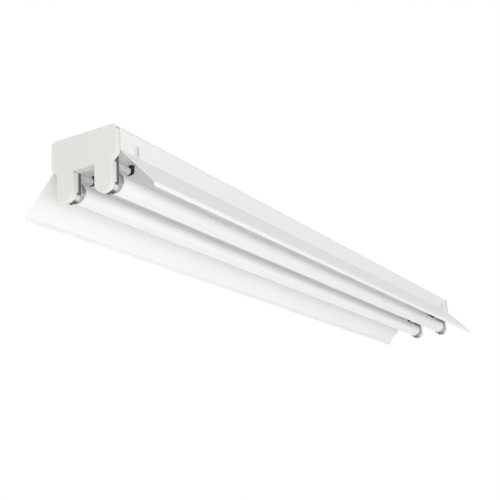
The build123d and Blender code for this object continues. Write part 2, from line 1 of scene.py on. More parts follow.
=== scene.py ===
# %% [markdown]
# # Dressing a two-lamp tube light in Blender
# The imported model holds every plate, tube, lampholder and wire of the fixture as its own node, in
# metres, with the ceiling face at Z = 0 and the tubes along Y. It could be rebuilt here by eye, but
# then the looks and the motion would drift apart, so the nodes stay where they are and this lesson
# adds a camera, light, finishes and a few finer pieces. The size of the untouched model is kept.

# %% Load the fixture
import math
import bmesh
import bpy
from mathutils import Matrix, Vector


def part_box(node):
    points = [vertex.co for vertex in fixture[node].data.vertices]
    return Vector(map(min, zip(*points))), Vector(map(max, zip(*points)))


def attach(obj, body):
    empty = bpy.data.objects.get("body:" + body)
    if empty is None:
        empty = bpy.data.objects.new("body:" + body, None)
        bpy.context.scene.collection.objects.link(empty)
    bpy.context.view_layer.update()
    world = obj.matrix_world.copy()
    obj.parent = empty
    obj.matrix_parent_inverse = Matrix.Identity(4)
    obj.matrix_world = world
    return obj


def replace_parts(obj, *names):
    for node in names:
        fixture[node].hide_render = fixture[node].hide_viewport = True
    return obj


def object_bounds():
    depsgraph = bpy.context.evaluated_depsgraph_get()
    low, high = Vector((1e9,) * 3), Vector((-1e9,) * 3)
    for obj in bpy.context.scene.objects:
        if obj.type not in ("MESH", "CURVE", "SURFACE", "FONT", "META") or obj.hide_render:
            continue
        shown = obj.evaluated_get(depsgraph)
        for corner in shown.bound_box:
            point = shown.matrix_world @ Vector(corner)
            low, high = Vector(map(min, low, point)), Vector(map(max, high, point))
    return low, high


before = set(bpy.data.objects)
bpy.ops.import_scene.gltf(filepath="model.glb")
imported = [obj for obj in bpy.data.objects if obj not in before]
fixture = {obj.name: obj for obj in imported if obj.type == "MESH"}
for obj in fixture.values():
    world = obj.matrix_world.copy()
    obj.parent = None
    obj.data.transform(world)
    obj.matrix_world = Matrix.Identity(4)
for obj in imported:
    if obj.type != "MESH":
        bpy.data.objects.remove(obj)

MM = 0.001
scene = bpy.context.scene
cad_low, cad_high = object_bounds()
print("nodes:", len(fixture), "size in mm:", [round(v / MM, 1) for v in cad_high - cad_low])

# %% [markdown]
# ## Camera
# The picture looks up at the near right end of a fixture that hangs on a ceiling, so the camera
# stands in front, to the right and below. A camera could be aimed with a Track To constraint, but a
# small roll is needed as well. The view is therefore written as three turns (yaw from +Y towards -X,
# pitch upwards, roll) and a place.

# %% Stand the camera below the near right end
VIEW_PLACE = Vector((0.64828, -1.38286, -0.44716))
VIEW_YAW, VIEW_PITCH, VIEW_ROLL = (math.radians(v) for v in (29.18, 16.29, -3.4))
VIEW_LENS, SENSOR_WIDTH, NEAREST_SEEN = 64.015, 36, 0.01

ahead = Vector((
    -math.sin(VIEW_YAW) * math.cos(VIEW_PITCH),
    math.cos(VIEW_YAW) * math.cos(VIEW_PITCH),
    math.sin(VIEW_PITCH),
))
level = Vector((math.cos(VIEW_YAW), math.sin(VIEW_YAW), 0))
upright = level.cross(ahead)
across = level * math.cos(VIEW_ROLL) + upright * math.sin(VIEW_ROLL)
above = upright * math.cos(VIEW_ROLL) - level * math.sin(VIEW_ROLL)
stand = Matrix((across, above, -ahead)).transposed().to_4x4()
stand.translation = VIEW_PLACE

camera = bpy.data.objects.new("camera", bpy.data.cameras.new("camera"))
camera.matrix_world = stand
camera.data.lens = VIEW_LENS
camera.data.sensor_width = SENSOR_WIDTH
camera.data.clip_start = NEAREST_SEEN
scene.collection.objects.link(camera)
scene.camera = camera
scene.view_settings.view_transform = "Standard"
print("camera to near end in m:", round((VIEW_PLACE - Vector((0, cad_low.y, 0))).length, 3))

# %% [markdown]
# ## Node helpers
# Every finish below is made of shader nodes. Adding a node, setting its sockets and linking it takes
# the same few lines each time, so short helpers do it. The first two are general: one adds a node,
# where a socket given as an input is linked and anything else is set as its value, and one links
# several results at once. The others add the nodes that come back in almost every finish.

# %% Helpers that add and link shader nodes
def add_node(tree, kind, inputs=None, **settings):
    made = tree.nodes.new("ShaderNode" + kind)
    for key, value in settings.items():
        setattr(made, key, value)
    for key, value in (inputs or {}).items():
        if isinstance(value, bpy.types.NodeSocket):
            tree.links.new(value, made.inputs[key])
        else:
            made.inputs[key].default_value = value
    return made


def link_all(tree, targets, **sockets):
    for label, socket in sockets.items():
        tree.links.new(socket, targets[label.replace("_", " ")])


def maths(tree, operation, *values, clamp=False):
    worked = add_node(tree, "Math", dict(enumerate(values)), operation=operation, use_clamp=clamp)
    return worked.outputs[0]


def mix_colours(tree, amount, first, second):
    return add_node(tree, "Mix", {0: amount, 6: first, 7: second}, data_type="RGBA").outputs[2]


def ramp(tree, value, start, end, low=0.0, high=1.0):
    sockets = {"Value": value, "From Min": start, "From Max": end, "To Min": low, "To Max": high}
    return add_node(tree, "MapRange", sockets).outputs[0]


print("linking helpers ready")

# %% Helpers for patterns, groups and shades
def object_spot(tree):
    return add_node(tree, "TexCoord").outputs["Object"]


def axes(tree, vector):
    return add_node(tree, "SeparateXYZ", {0: vector}).outputs


def facing_axes(tree):
    return axes(tree, add_node(tree, "NewGeometry").outputs["Normal"])


def stretched(tree, spot, factors):
    return add_node(tree, "VectorMath", {0: spot, 1: factors}, operation="MULTIPLY").outputs[0]


def noise(tree, spot, scale, detail):
    return add_node(tree, "TexNoise", {"Vector": spot, "Scale": scale, "Detail": detail}).outputs[0]


def swing_about(tree, middle, pattern, spread):
    return maths(tree, "MULTIPLY_ADD", maths(tree, "SUBTRACT", pattern, 0.5), spread, middle)


def open_group(name, inputs, outputs):
    tree = bpy.data.node_groups.new(name, "ShaderNodeTree")
    for label, kind, value in inputs:
        socket = tree.interface.new_socket(label, in_out="INPUT", socket_type="NodeSocket" + kind)
        socket.default_value = value
    for label, kind in outputs:
        tree.interface.new_socket(label, in_out="OUTPUT", socket_type="NodeSocket" + kind)
    given = tree.nodes.new("NodeGroupInput").outputs
    return tree, given, tree.nodes.new("NodeGroupOutput").inputs


def shade(red, green, blue):
    return (red, green, blue, 1.0)


WHITE = shade(1.0, 1.0, 1.0)
print("pattern helpers ready")

# %% [markdown]
# ## White studio
# The fixture is shown cut out on white. Bright lamps could burn the background white, but they would
# wash out the white paint too. Instead the world shows plain white to the camera and in reflections,
# and lights the paint less brightly, least of all from the ceiling, so the upper bends of the channel
# turn a little darker. Large soft lamps at the lower right front and at the sides give the planes
# their small differences. The floor of the room lies 2.3 m below the ceiling face. It is pale, and
# most of what the camera and reflections see of it is the same plain white, so that views from above
# stay as quiet as the picture from below.

# %% Make the world white and soft
WORLD_FILL, CEILING_FILL = 0.86, 0.575
DIM_FROM, DIM_TO = -0.1, 0.6


def seen_rays(tree):
    path = add_node(tree, "LightPath").outputs
    seen = maths(tree, "MAXIMUM", path["Is Camera Ray"], path["Is Glossy Ray"])
    return maths(tree, "MAXIMUM", seen, path["Is Transmission Ray"])


world = bpy.data.worlds.new("white studio")
world.use_nodes = True
sky = world.node_tree
sky.nodes.clear()
rise = axes(sky, add_node(sky, "TexCoord").outputs["Generated"])["Z"]
dimmed = ramp(sky, rise, DIM_FROM, DIM_TO, WORLD_FILL, CEILING_FILL)
fill = add_node(sky, "Background", {"Color": WHITE, "Strength": dimmed})
plain = add_node(sky, "Background", {"Color": WHITE, "Strength": 1.0})
both = add_node(sky, "MixShader", {0: seen_rays(sky), 1: fill.outputs[0], 2: plain.outputs[0]})
add_node(sky, "OutputWorld", {"Surface": both.outputs[0]})
scene.world = world
print("world fill:", WORLD_FILL, "and from the ceiling:", CEILING_FILL)

# %% Lay a pale floor
FLOOR_LEVEL, FLOOR_SPAN, FLOOR_SQUARES = -2.3, 16.0, 24
FLOOR_WHITE = 0.85


def settle(shape, name):
    mesh = bpy.data.meshes.new(name)
    shape.to_mesh(mesh)
    shape.free()
    return mesh


floor_finish = bpy.data.materials.new("pale floor")
floor_finish.use_nodes = True
floor_tree = floor_finish.node_tree
floor_shader = floor_tree.nodes["Principled BSDF"]
cloud = add_node(floor_tree, "TexNoise", {"Scale": 3.0, "Detail": 3.0}).outputs[0]
floor_tone = mix_colours(floor_tree, cloud, shade(0.76, 0.76, 0.75), shade(0.80, 0.80, 0.80))
link_all(floor_tree, floor_shader.inputs, Base_Color=floor_tone)
floor_shader.inputs["Roughness"].default_value = 0.7
glow = add_node(floor_tree, "Emission", {"Color": WHITE, "Strength": 1.0})
whitened = add_node(floor_tree, "MixShader", {
    0: maths(floor_tree, "MULTIPLY", seen_rays(floor_tree), FLOOR_WHITE),
    1: floor_shader.outputs[0], 2: glow.outputs[0],
})
link_all(floor_tree, floor_tree.nodes["Material Output"].inputs, Surface=whitened.outputs[0])

shape = bmesh.new()
bmesh.ops.create_grid(
    shape, x_segments=FLOOR_SQUARES, y_segments=FLOOR_SQUARES, size=FLOOR_SPAN / 2,
)
floor = bpy.data.objects.new("studio_floor", settle(shape, "studio_floor"))
floor.location.z = FLOOR_LEVEL
floor.data.materials.append(floor_finish)
scene.collection.objects.link(floor)
print("floor at", FLOOR_LEVEL, "m")

# %% Set five soft lamps
# Each lamp has a place in metres, the side of its square in metres and a power in watts.
LAMPS = {
    "near key": (Vector((1.8, -1.9, -1.1)), 1.0, 5.0),
    "soft front": (Vector((2.4, -4.0, -1.6)), 2.6, 74.0),
    "low right fill": (Vector((3.8, -0.6, -1.9)), 2.6, 40.0),
    "low left fill": (Vector((-3.4, -0.4, -2.0)), 2.6, 92.0),
    "under fill": (Vector((0.3, -0.3, -2.2)), 2.6, 8.0),
}
LAMP_AIM = Vector((0, -0.3, 0))

for name, (place, size, power) in LAMPS.items():
    lamp = bpy.data.objects.new(name, bpy.data.lights.new(name, "AREA"))
    lamp.data.size = size
    lamp.data.energy = power
    lamp.location = place
    lamp.rotation_mode = "QUATERNION"
    lamp.rotation_quaternion = (LAMP_AIM - place).to_track_quat("-Z", "Y")
    lamp.visible_camera = False
    scene.collection.objects.link(lamp)
print("lamps:", {name: power for name, (_, _, power) in LAMPS.items()})

# %% [markdown]
# ## Edge line
# Paint pulls thin over a sheared edge and moulded corners catch dirt, so edges read as a fine line. A
# dirt map could be painted by hand, but the Bevel node already knows where edges are: it bends the
# normal near them. How far the bent normal leaves the true one is the mask, and every finish below
# can use it.

# %% Group: edge line
EDGE_GAIN = 4.0

edge_line, given, result = open_group(
    "edge line", [("Width", "Float", 0.0004)], [("Mask", "Float")]
)
bent = add_node(edge_line, "Bevel", {"Radius": given["Width"]}, samples=6).outputs[0]
true_normal = add_node(edge_line, "NewGeometry").outputs["Normal"]
agree = add_node(edge_line, "VectorMath", {0: bent, 1: true_normal}, operation="DOT_PRODUCT")
apart = maths(edge_line, "SUBTRACT", 1.0, agree.outputs["Value"])
link_all(edge_line, result, Mask=maths(edge_line, "MULTIPLY", apart, EDGE_GAIN, clamp=True))
print("group:", edge_line.name)

# %% [markdown]
# ## Sprayed coat
# The channel, end plates, reflector and the screw heads are coated steel. Up close a sprayed coat is
# never flat: it has a soft orange peel about a millimetre and a half across, its colour drifts a
# little along the sheet, its gloss changes where it flowed, and it thins at the edges. The group gives
# these as a colour, a roughness and a height.

# %% Group: sprayed coat
DRIFT_SCALE, FLOW_SCALE = 5.0, 60.0
SKIN_RESULTS = [("Colour", "Color"), ("Roughness", "Float"), ("Height", "Float")]

sprayed_coat, given, result = open_group("sprayed coat", [
    ("Colour", "Color", WHITE), ("Drift Colour", "Color", WHITE), ("Edge Colour", "Color", WHITE),
    ("Edge Width", "Float", 0.0004), ("Edge Amount", "Float", 0.3), ("Peel Scale", "Float", 650.0),
    ("Roughness", "Float", 0.4), ("Roughness Spread", "Float", 0.06),
], SKIN_RESULTS)
spot = object_spot(sprayed_coat)
drift = noise(sprayed_coat, spot, DRIFT_SCALE, 3.0)
peel = noise(sprayed_coat, spot, given["Peel Scale"], 1.0)
flow = noise(sprayed_coat, spot, FLOW_SCALE, 2.0)
edge = add_node(sprayed_coat, "Group", {"Width": given["Edge Width"]}, node_tree=edge_line)
thin = maths(sprayed_coat, "MULTIPLY", edge.outputs[0], given["Edge Amount"])
tone = mix_colours(sprayed_coat, drift, given["Colour"], given["Drift Colour"])
link_all(
    sprayed_coat, result, Height=peel,
    Colour=mix_colours(sprayed_coat, thin, tone, given["Edge Colour"]),
    Roughness=swing_about(sprayed_coat, given["Roughness"], flow, given["Roughness Spread"]),
)
print("group:", sprayed_coat.name)

# %% [markdown]
# ## Mould grain
# Lampholders, rotors, insulating discs, clips and wire insulation are moulded or extruded plastic.
# Their skin copies the tool it came from: a fine spark-eroded grain of tenths of a millimetre, with a
# faint cloudiness in the colour. Voronoi cells give the grain, and the edge line brings the cloud's
# colour to the corners, where dirt collects.

# %% Group: mould grain
CLOUD_SCALE, FINE_EDGE = 90.0, 0.0003

mould_grain, given, result = open_group("mould grain", [
    ("Colour", "Color", WHITE), ("Cloud Colour", "Color", WHITE), ("Grain Scale", "Float", 2600.0),
    ("Edge Amount", "Float", 0.25), ("Roughness", "Float", 0.5), ("Roughness Spread", "Float", 0.1),
], SKIN_RESULTS)
spot = object_spot(mould_grain)
cloud = noise(mould_grain, spot, CLOUD_SCALE, 3.0)
grain = add_node(mould_grain, "TexVoronoi", {"Vector": spot, "Scale": given["Grain Scale"]})
edge = add_node(mould_grain, "Group", {"Width": FINE_EDGE}, node_tree=edge_line)
dirty = maths(mould_grain, "MULTIPLY", edge.outputs[0], given["Edge Amount"])
spread = maths(mould_grain, "MAXIMUM", cloud, dirty)
link_all(
    mould_grain, result, Height=grain.outputs["Distance"],
    Colour=mix_colours(mould_grain, spread, given["Colour"], given["Cloud Colour"]),
    Roughness=swing_about(mould_grain, given["Roughness"], cloud, given["Roughness Spread"]),
)
print("group:", mould_grain.name)

# %% [markdown]
# ## Drawn metal
# Tube caps are drawn from sheet, the spine inside the tube is extruded and the pins are turned from
# wire. All carry fine streaks along the way the metal moved, and a thin dull tarnish in patches. A
# noise texture that is stretched hard along one axis gives streaks; the Stretch input sets the axis
# for each piece.

# %% Group: drawn metal
PATCH_SCALE, STREAK_AMOUNT = 140.0, 0.35

drawn_metal, given, result = open_group("drawn metal", [
    ("Colour", "Color", WHITE), ("Tarnish Colour", "Color", WHITE), ("Tarnish", "Float", 0.4),
    ("Stretch", "Vector", (900.0, 6.0, 900.0)), ("Roughness", "Float", 0.3),
    ("Roughness Spread", "Float", 0.2),
], SKIN_RESULTS)
spot = object_spot(drawn_metal)
streak = noise(drawn_metal, stretched(drawn_metal, spot, given["Stretch"]), 1.0, 4.0)
patch = noise(drawn_metal, spot, PATCH_SCALE, 4.0)
edge = add_node(drawn_metal, "Group", {"Width": FINE_EDGE}, node_tree=edge_line)
dull = maths(drawn_metal, "MULTIPLY", patch, given["Tarnish"])
dull = maths(drawn_metal, "MULTIPLY_ADD", streak, STREAK_AMOUNT, dull)
dull = maths(drawn_metal, "SUBTRACT", dull, edge.outputs[0], clamp=True)
link_all(
    drawn_metal, result, Height=streak,
    Colour=mix_colours(drawn_metal, dull, given["Colour"], given["Tarnish Colour"]),
    Roughness=swing_about(drawn_metal, given["Roughness"], streak, given["Roughness Spread"]),
)
print("group:", drawn_metal.name)

# %% [markdown]
# ## Settled dust
# A fixture gathers a film of dust on what faces up: the outside of the wings and the tops of the
# folds. The film follows the surface's normal, broken up by noise, and it dulls the gloss. It is kept
# thin, because the paint in the picture is clean.

# %% Group: settled dust
DUST_COLOUR, DUST_DULLING, FLECK_SCALE = shade(0.62, 0.60, 0.56), 0.4, 35.0
SLOPE_BARE, SLOPE_DUSTY = 0.35, 0.95

settled_dust, given, result = open_group("settled dust", [
    ("Colour", "Color", WHITE), ("Dust Colour", "Color", DUST_COLOUR), ("Roughness", "Float", 0.4),
    ("Amount", "Float", 0.2),
], SKIN_RESULTS[:2])
lying = ramp(settled_dust, facing_axes(settled_dust)["Z"], SLOPE_BARE, SLOPE_DUSTY)
fleck = noise(settled_dust, object_spot(settled_dust), FLECK_SCALE, 5.0)
film = maths(settled_dust, "MULTIPLY", lying, fleck)
film = maths(settled_dust, "MULTIPLY", film, given["Amount"], clamp=True)
link_all(
    settled_dust, result,
    Colour=mix_colours(settled_dust, film, given["Colour"], given["Dust Colour"]),
    Roughness=maths(settled_dust, "MULTIPLY_ADD", film, DUST_DULLING, given["Roughness"]),
)
print("group:", settled_dust.name)

# %% [markdown]
# ## Opening a finish
# Each finish starts the same way: a material with one Principled BSDF, whose constants are set on its
# own sockets, and at the end a colour, a roughness and a bump are linked in. Two helpers keep that in
# one place. Two more are for marks on a finished coat: one opens the finish again and finds its clean
# colour, and one breaks a mark up with noise.

# %% Helpers that open, close and mark a finish
finishes = {}


def open_finish(name, **constants):
    finishes[name] = bpy.data.materials.new(name)
    finishes[name].use_nodes = True
    tree = finishes[name].node_tree
    shader = tree.nodes["Principled BSDF"].inputs
    for label, value in constants.items():
        shader[label.replace("_", " ")].default_value = value
    return tree, shader


def close_finish(tree, shader, colour, roughness, height, depth, strength=1.0):
    bump = add_node(tree, "Bump", {"Height": height, "Distance": depth, "Strength": strength})
    link_all(tree, shader, Base_Color=colour, Roughness=roughness, Normal=bump.outputs[0])


def reopen_finish(name):
    tree = finishes[name].node_tree
    shader = tree.nodes["Principled BSDF"].inputs
    return tree, shader, shader["Base Color"].links[0].from_socket


def broken_up(tree, mask, pattern, least):
    return maths(tree, "MULTIPLY", mask, maths(tree, "ADD", pattern, least), clamp=True)


print("ready for finishes")

# %% [markdown]
# ## Coated steel
# The channel and the end plates are powder coated in a satin white, and the end plates read slightly
# warmer. The reflector is a glossier stove enamel with a finer peel. Two kinds of screw are coated as
# well. One table holds the numbers and one loop builds them from the two groups.

# %% Finishes: coated steel
COATS = {
    "channel powder coat": dict(
        colour=shade(0.85, 0.85, 0.84), drift=shade(0.835, 0.835, 0.825),
        edge=shade(0.70, 0.70, 0.69), edge_amount=0.35,
        peel=650.0, rough=0.42, depth=0.00005, dust=0.30,
    ),
    "end plate powder coat": dict(
        colour=shade(0.80, 0.79, 0.765), drift=shade(0.785, 0.77, 0.74),
        edge=shade(0.72, 0.69, 0.64), edge_amount=0.45,
        peel=650.0, rough=0.45, depth=0.00005, dust=0.30,
    ),
    "reflector enamel": dict(
        colour=shade(0.895, 0.895, 0.89), drift=shade(0.88, 0.88, 0.875),
        edge=shade(0.74, 0.74, 0.73), edge_amount=0.30,
        peel=900.0, rough=0.30, depth=0.00003, dust=0.35,
    ),
    "reflector screw coat": dict(
        colour=shade(0.80, 0.80, 0.79), drift=shade(0.76, 0.76, 0.75),
        edge=shade(0.50, 0.50, 0.49), edge_amount=0.6,
        peel=1200.0, rough=0.38, depth=0.00003, dust=0.0,
    ),
    "earth screw lacquer": dict(
        colour=shade(0.012, 0.20, 0.045), drift=shade(0.016, 0.25, 0.06),
        edge=shade(0.35, 0.38, 0.33), edge_amount=0.7,
        peel=1200.0, rough=0.33, depth=0.00003, dust=0.2,
    ),
}

for name, coat in COATS.items():
    tree, shader = open_finish(name, Specular_IOR_Level=0.4)
    skin = add_node(tree, "Group", {
        "Colour": coat["colour"], "Drift Colour": coat["drift"], "Edge Colour": coat["edge"],
        "Edge Amount": coat["edge_amount"], "Peel Scale": coat["peel"], "Roughness": coat["rough"],
    }, node_tree=sprayed_coat).outputs
    dusty = add_node(tree, "Group", {
        "Colour": skin["Colour"], "Roughness": skin["Roughness"], "Amount": coat["dust"],
    }, node_tree=settled_dust).outputs
    close_finish(tree, shader, dusty["Colour"], dusty["Roughness"], skin["Height"], coat["depth"])
print("coats:", len(COATS))

# %% [markdown]
# ## Seam behind the end plates
# Each end plate folds round the sides of the channel for a few millimetres. The step at the back
# edge of that fold throws a thin shadow on the channel, painted here as a fine grey line of shade.
# It could be painted by hand, but its place is known: it starts at the back edge of the fold and
# fades towards the middle of the channel. A Map Range over the distance along Y is the mask, kept
# to the faces that look sideways, and noise breaks it up.

# %% Paint a line of shade along the seam on the channel's coat
FOLD_DEPTH, SEAM_WIDTH = 6.5 * MM, 3.0 * MM
SEAM_SHADE_GREY, SEAM_SPECK = shade(0.34, 0.33, 0.32), 220.0
# How much of a normal lies along an axis where a face begins to count as square to that axis, and
# where it counts in full.
SQUARE_ON = (0.9, 0.99)

seam_end = cad_high.y - FOLD_DEPTH
tree, shader, clean = reopen_finish("channel powder coat")
spot = object_spot(tree)
along = maths(tree, "ABSOLUTE", axes(tree, spot)["Y"])
at_fold = ramp(tree, along, seam_end - SEAM_WIDTH, seam_end)
on_side = ramp(tree, maths(tree, "ABSOLUTE", facing_axes(tree)["X"]), *SQUARE_ON)
# Painted shade: a grey line along the back edge of the fold, where its step throws a shadow.
seam_shade = maths(tree, "MULTIPLY", at_fold, on_side)
seam_shade = broken_up(tree, seam_shade, noise(tree, spot, SEAM_SPECK, 2.0), 0.5)
link_all(tree, shader, Base_Color=mix_colours(tree, seam_shade, clean, SEAM_SHADE_GREY))
print("seam from", round(seam_end - SEAM_WIDTH, 4), "to", round(seam_end, 4), "m")

# %% [markdown]
# ## Painted shade on the hook tabs
# The reflector hangs on the channel by tabs that are lanced out of the sheet and bent up against the
# channel's sides. All tabs take the channel's colour, and on the pairs near the ends the shadow of
# the tab and of the slot behind it is painted in as grey shade, strongest on their inner halves. The
# tabs are the only part of the reflector above the channel's underside, so a Map Range over the
# height finds them, and the distance along Y leaves out the pair in the middle and fades the painted
# shade over each tab.

# %% Paint shade on the tabs near the ends
TAB_FOOT, TAB_INSET, TAB_HALF = -31.5 * MM, 40 * MM, 4.5 * MM
TAB_SHADE_GREY, TAB_SHADE_SPECK, OUTER_TAB_SHADE = shade(0.52, 0.52, 0.51), 300.0, 0.25

tab_centre = cad_high.y - TAB_INSET
tree, shader, clean = reopen_finish("reflector enamel")
spot = object_spot(tree)
axis = axes(tree, spot)
tab = ramp(tree, axis["Z"], TAB_FOOT, TAB_FOOT + MM)
clean = mix_colours(tree, tab, clean, COATS["channel powder coat"]["colour"])
along = maths(tree, "ABSOLUTE", axis["Y"])
end_pair = maths(tree, "GREATER_THAN", along, tab_centre / 2)
fade_from, fade_to = tab_centre - TAB_HALF / 2, tab_centre + TAB_HALF / 2
inner_half = ramp(tree, along, fade_from, fade_to, 1.0, OUTER_TAB_SHADE)
# Painted shade: grey on the end pairs of tabs, stronger on their inner halves.
tab_shade = maths(tree, "MULTIPLY", maths(tree, "MULTIPLY", tab, end_pair), inner_half)
tab_shade = broken_up(tree, tab_shade, noise(tree, spot, TAB_SHADE_SPECK, 2.0), 0.4)
link_all(tree, shader, Base_Color=mix_colours(tree, tab_shade, clean, TAB_SHADE_GREY))
print("tabs greyed above", TAB_FOOT, "m")

# %% [markdown]
# ## Moulded plastics and rubber
# Everything moulded shares the grain group and differs in colour, in how coarse the grain is and in
# gloss. The rubber boots are black with a bloom of grey, lampholders are a dark grey plastic, and the
# insulation of the two sets of lamp wires is smooth. The table lists them from the tube's end
# inwards.

# %% Finishes: moulded plastic and rubber
# Each row has a colour, the colour of its clouds, the grain's scale, a roughness and a bump depth.
MOULDINGS = {
    "lampholder plastic": (
        shade(0.125, 0.125, 0.126), shade(0.150, 0.150, 0.150), 2600.0, 0.36, 0.00002),
    "rotor plastic": (
        shade(0.72, 0.72, 0.69), shade(0.66, 0.65, 0.60), 3000.0, 0.40, 0.00002),
    "pin base plastic": (
        shade(0.70, 0.70, 0.68), shade(0.62, 0.61, 0.57), 2400.0, 0.55, 0.00003),
    "boot rubber": (
        shade(0.008, 0.008, 0.008), shade(0.020, 0.020, 0.021), 1800.0, 0.55, 0.00004),
    "board solder mask": (
        shade(0.84, 0.84, 0.84), shade(0.78, 0.79, 0.79), 4200.0, 0.35, 0.00001),
    "phosphor gel": (
        shade(0.82, 0.62, 0.06), shade(0.78, 0.52, 0.04), 3600.0, 0.30, 0.00002),
    "driver board": (
        shade(0.012, 0.09, 0.03), shade(0.02, 0.13, 0.05), 3200.0, 0.35, 0.00002),
    "black wire insulation": (
        shade(0.010, 0.010, 0.010), shade(0.022, 0.022, 0.022), 1500.0, 0.42, 0.00002),
    "white wire insulation": (
        shade(0.74, 0.74, 0.73), shade(0.66, 0.66, 0.63), 1500.0, 0.42, 0.00002),
    "clip nylon": (
        shade(0.74, 0.74, 0.70), shade(0.68, 0.67, 0.61), 2200.0, 0.48, 0.00003),
    "bushing nylon": (
        shade(0.011, 0.011, 0.012), shade(0.026, 0.026, 0.026), 2200.0, 0.45, 0.00003),
    "terminal plastic": (
        shade(0.66, 0.60, 0.43), shade(0.58, 0.51, 0.34), 2000.0, 0.42, 0.00003),
}

for name, (colour, cloud_colour, grain_scale, rough, depth) in MOULDINGS.items():
    tree, shader = open_finish(name)
    skin = add_node(tree, "Group", {
        "Colour": colour, "Cloud Colour": cloud_colour, "Grain Scale": grain_scale,
        "Roughness": rough,
    }, node_tree=mould_grain).outputs
    close_finish(tree, shader, skin["Colour"], skin["Roughness"], skin["Height"], depth)
print("mouldings:", len(MOULDINGS))

# %% [markdown]
# ## Worn lampholders with a painted highlight and shade
# Each time a tube is changed, its metal cap scrapes over the face of the lampholder and leaves it
# pale and dull. The rounded lower corners get a painted highlight, a pale band where they would
# catch the light, and the underside gets painted shade, darker than the sides. The normal tells
# these parts from each other: faces look along Y, corners look part of the way down and the
# underside looks straight down. Scratches are a noise that is stretched upwards, the way the cap
# goes in, and the same noise breaks up the painted highlight.

# %% Wear the lampholders' faces, paint a highlight on corners and shade underneath
SCRATCH_STRETCH, SCRATCH_LEAST = (1500.0, 1500.0, 90.0), 0.4
# The normal's Z where each part begins to count, and where it counts in full.
CORNER_BEGINS, CORNER_ENDS, UNDERSIDE = (-0.15, -0.35), (-0.85, -0.65), (-0.8, -0.95)
FACE_WORN, CORNER_HIGHLIGHT = shade(0.46, 0.46, 0.45), shade(0.72, 0.72, 0.71)
UNDERSIDE_SHADE = shade(0.04, 0.04, 0.041)

tree, shader, colour = reopen_finish("lampholder plastic")
scratch = noise(tree, stretched(tree, object_spot(tree), SCRATCH_STRETCH), 1.0, 3.0)
facing = facing_axes(tree)
face = ramp(tree, maths(tree, "ABSOLUTE", facing["Y"]), *SQUARE_ON)
corner = ramp(tree, facing["Z"], *CORNER_BEGINS)
corner = maths(tree, "MULTIPLY", corner, ramp(tree, facing["Z"], *CORNER_ENDS))
# The face is worn pale; the corner band is a painted highlight.
for mask, wear_and_highlight in ((face, FACE_WORN), (corner, CORNER_HIGHLIGHT)):
    colour = mix_colours(tree, broken_up(tree, mask, scratch, SCRATCH_LEAST), colour, wear_and_highlight)
# Painted shade: the underside is darkened.
colour = mix_colours(tree, ramp(tree, facing["Z"], *UNDERSIDE), colour, UNDERSIDE_SHADE)
link_all(tree, shader, Base_Color=colour)
print("worn:", finishes["lampholder plastic"].name)

# %% [markdown]
# ## Metals
# Bare metal shows in four places: the drawn caps on the tubes' ends, the extruded spine, the brass of
# pins and contacts, and zinc-plated screws. The caps look mid grey in the picture. Their streaks run
# round the cap, so the stretch is fine along Y; the spine's streaks run along Y, so there the stretch
# is fine across it.

# %% Finishes: drawn metal
# Each row has a colour, its tarnish, the streaks' stretch, a roughness and a bump depth.
METALS = {
    "cap metal": (
        shade(0.48, 0.48, 0.475), shade(0.36, 0.36, 0.36), (30.0, 2200.0, 30.0), 0.27, 0.00002),
    "spine aluminium": (
        shade(0.72, 0.72, 0.73), shade(0.58, 0.58, 0.59), (1100.0, 5.0, 1100.0), 0.34, 0.00002),
    "pin brass": (
        shade(0.72, 0.56, 0.28), shade(0.50, 0.36, 0.16), (1800.0, 60.0, 1800.0), 0.24, 0.00001),
    "contact brass": (
        shade(0.70, 0.50, 0.20), shade(0.46, 0.30, 0.12), (1400.0, 80.0, 400.0), 0.28, 0.00001),
    "screw zinc": (
        shade(0.60, 0.61, 0.62), shade(0.44, 0.45, 0.46), (900.0, 900.0, 900.0), 0.34, 0.00002),
}

for name, (colour, tarnish, stretch, rough, depth) in METALS.items():
    tree, shader = open_finish(name, Metallic=1.0)
    skin = add_node(tree, "Group", {
        "Colour": colour, "Tarnish Colour": tarnish, "Stretch": stretch, "Roughness": rough,
    }, node_tree=drawn_metal).outputs
    close_finish(tree, shader, skin["Colour"], skin["Roughness"], skin["Height"], depth)
print("metals:", len(METALS))

# %% [markdown]
# ## Frosted tube
# The tubes' long covers are extruded polycarbonate with a frosting agent in it: milky, softly glossy,
# with very faint die lines along the length. Real frosting scatters light inside the wall, which
# could be done with subsurface, but the wall is one millimetre of nearly opaque white, so a pale
# diffuse colour with streaks along Y gives the same look from outside and exports cleanly.

# %% Finish: frosted tube
DIE_STRETCH, DIE_AMOUNT, DIE_RELIEF = (1300.0, 2.0, 1300.0), 0.12, 0.6
FROST_SCALE, MILK_SCALE = 3500.0, 9.0

tree, shader = open_finish("frosted tube", IOR=1.58)
spot = object_spot(tree)
die_line = noise(tree, stretched(tree, spot, DIE_STRETCH), 1.0, 2.0)
frost = noise(tree, spot, FROST_SCALE, 1.0)
milk = noise(tree, spot, MILK_SCALE, 2.0)
colour = mix_colours(tree, milk, shade(0.89, 0.895, 0.89), shade(0.875, 0.88, 0.88))
line_amount = maths(tree, "MULTIPLY", die_line, DIE_AMOUNT)
colour = mix_colours(tree, line_amount, colour, shade(0.70, 0.71, 0.71))
rough = maths(tree, "MULTIPLY_ADD", frost, 0.12, 0.32)
relief = maths(tree, "MULTIPLY_ADD", die_line, DIE_RELIEF, frost)
close_finish(tree, shader, colour, rough, relief, 0.00001, strength=0.6)
print("finish:", finishes["frosted tube"].name)

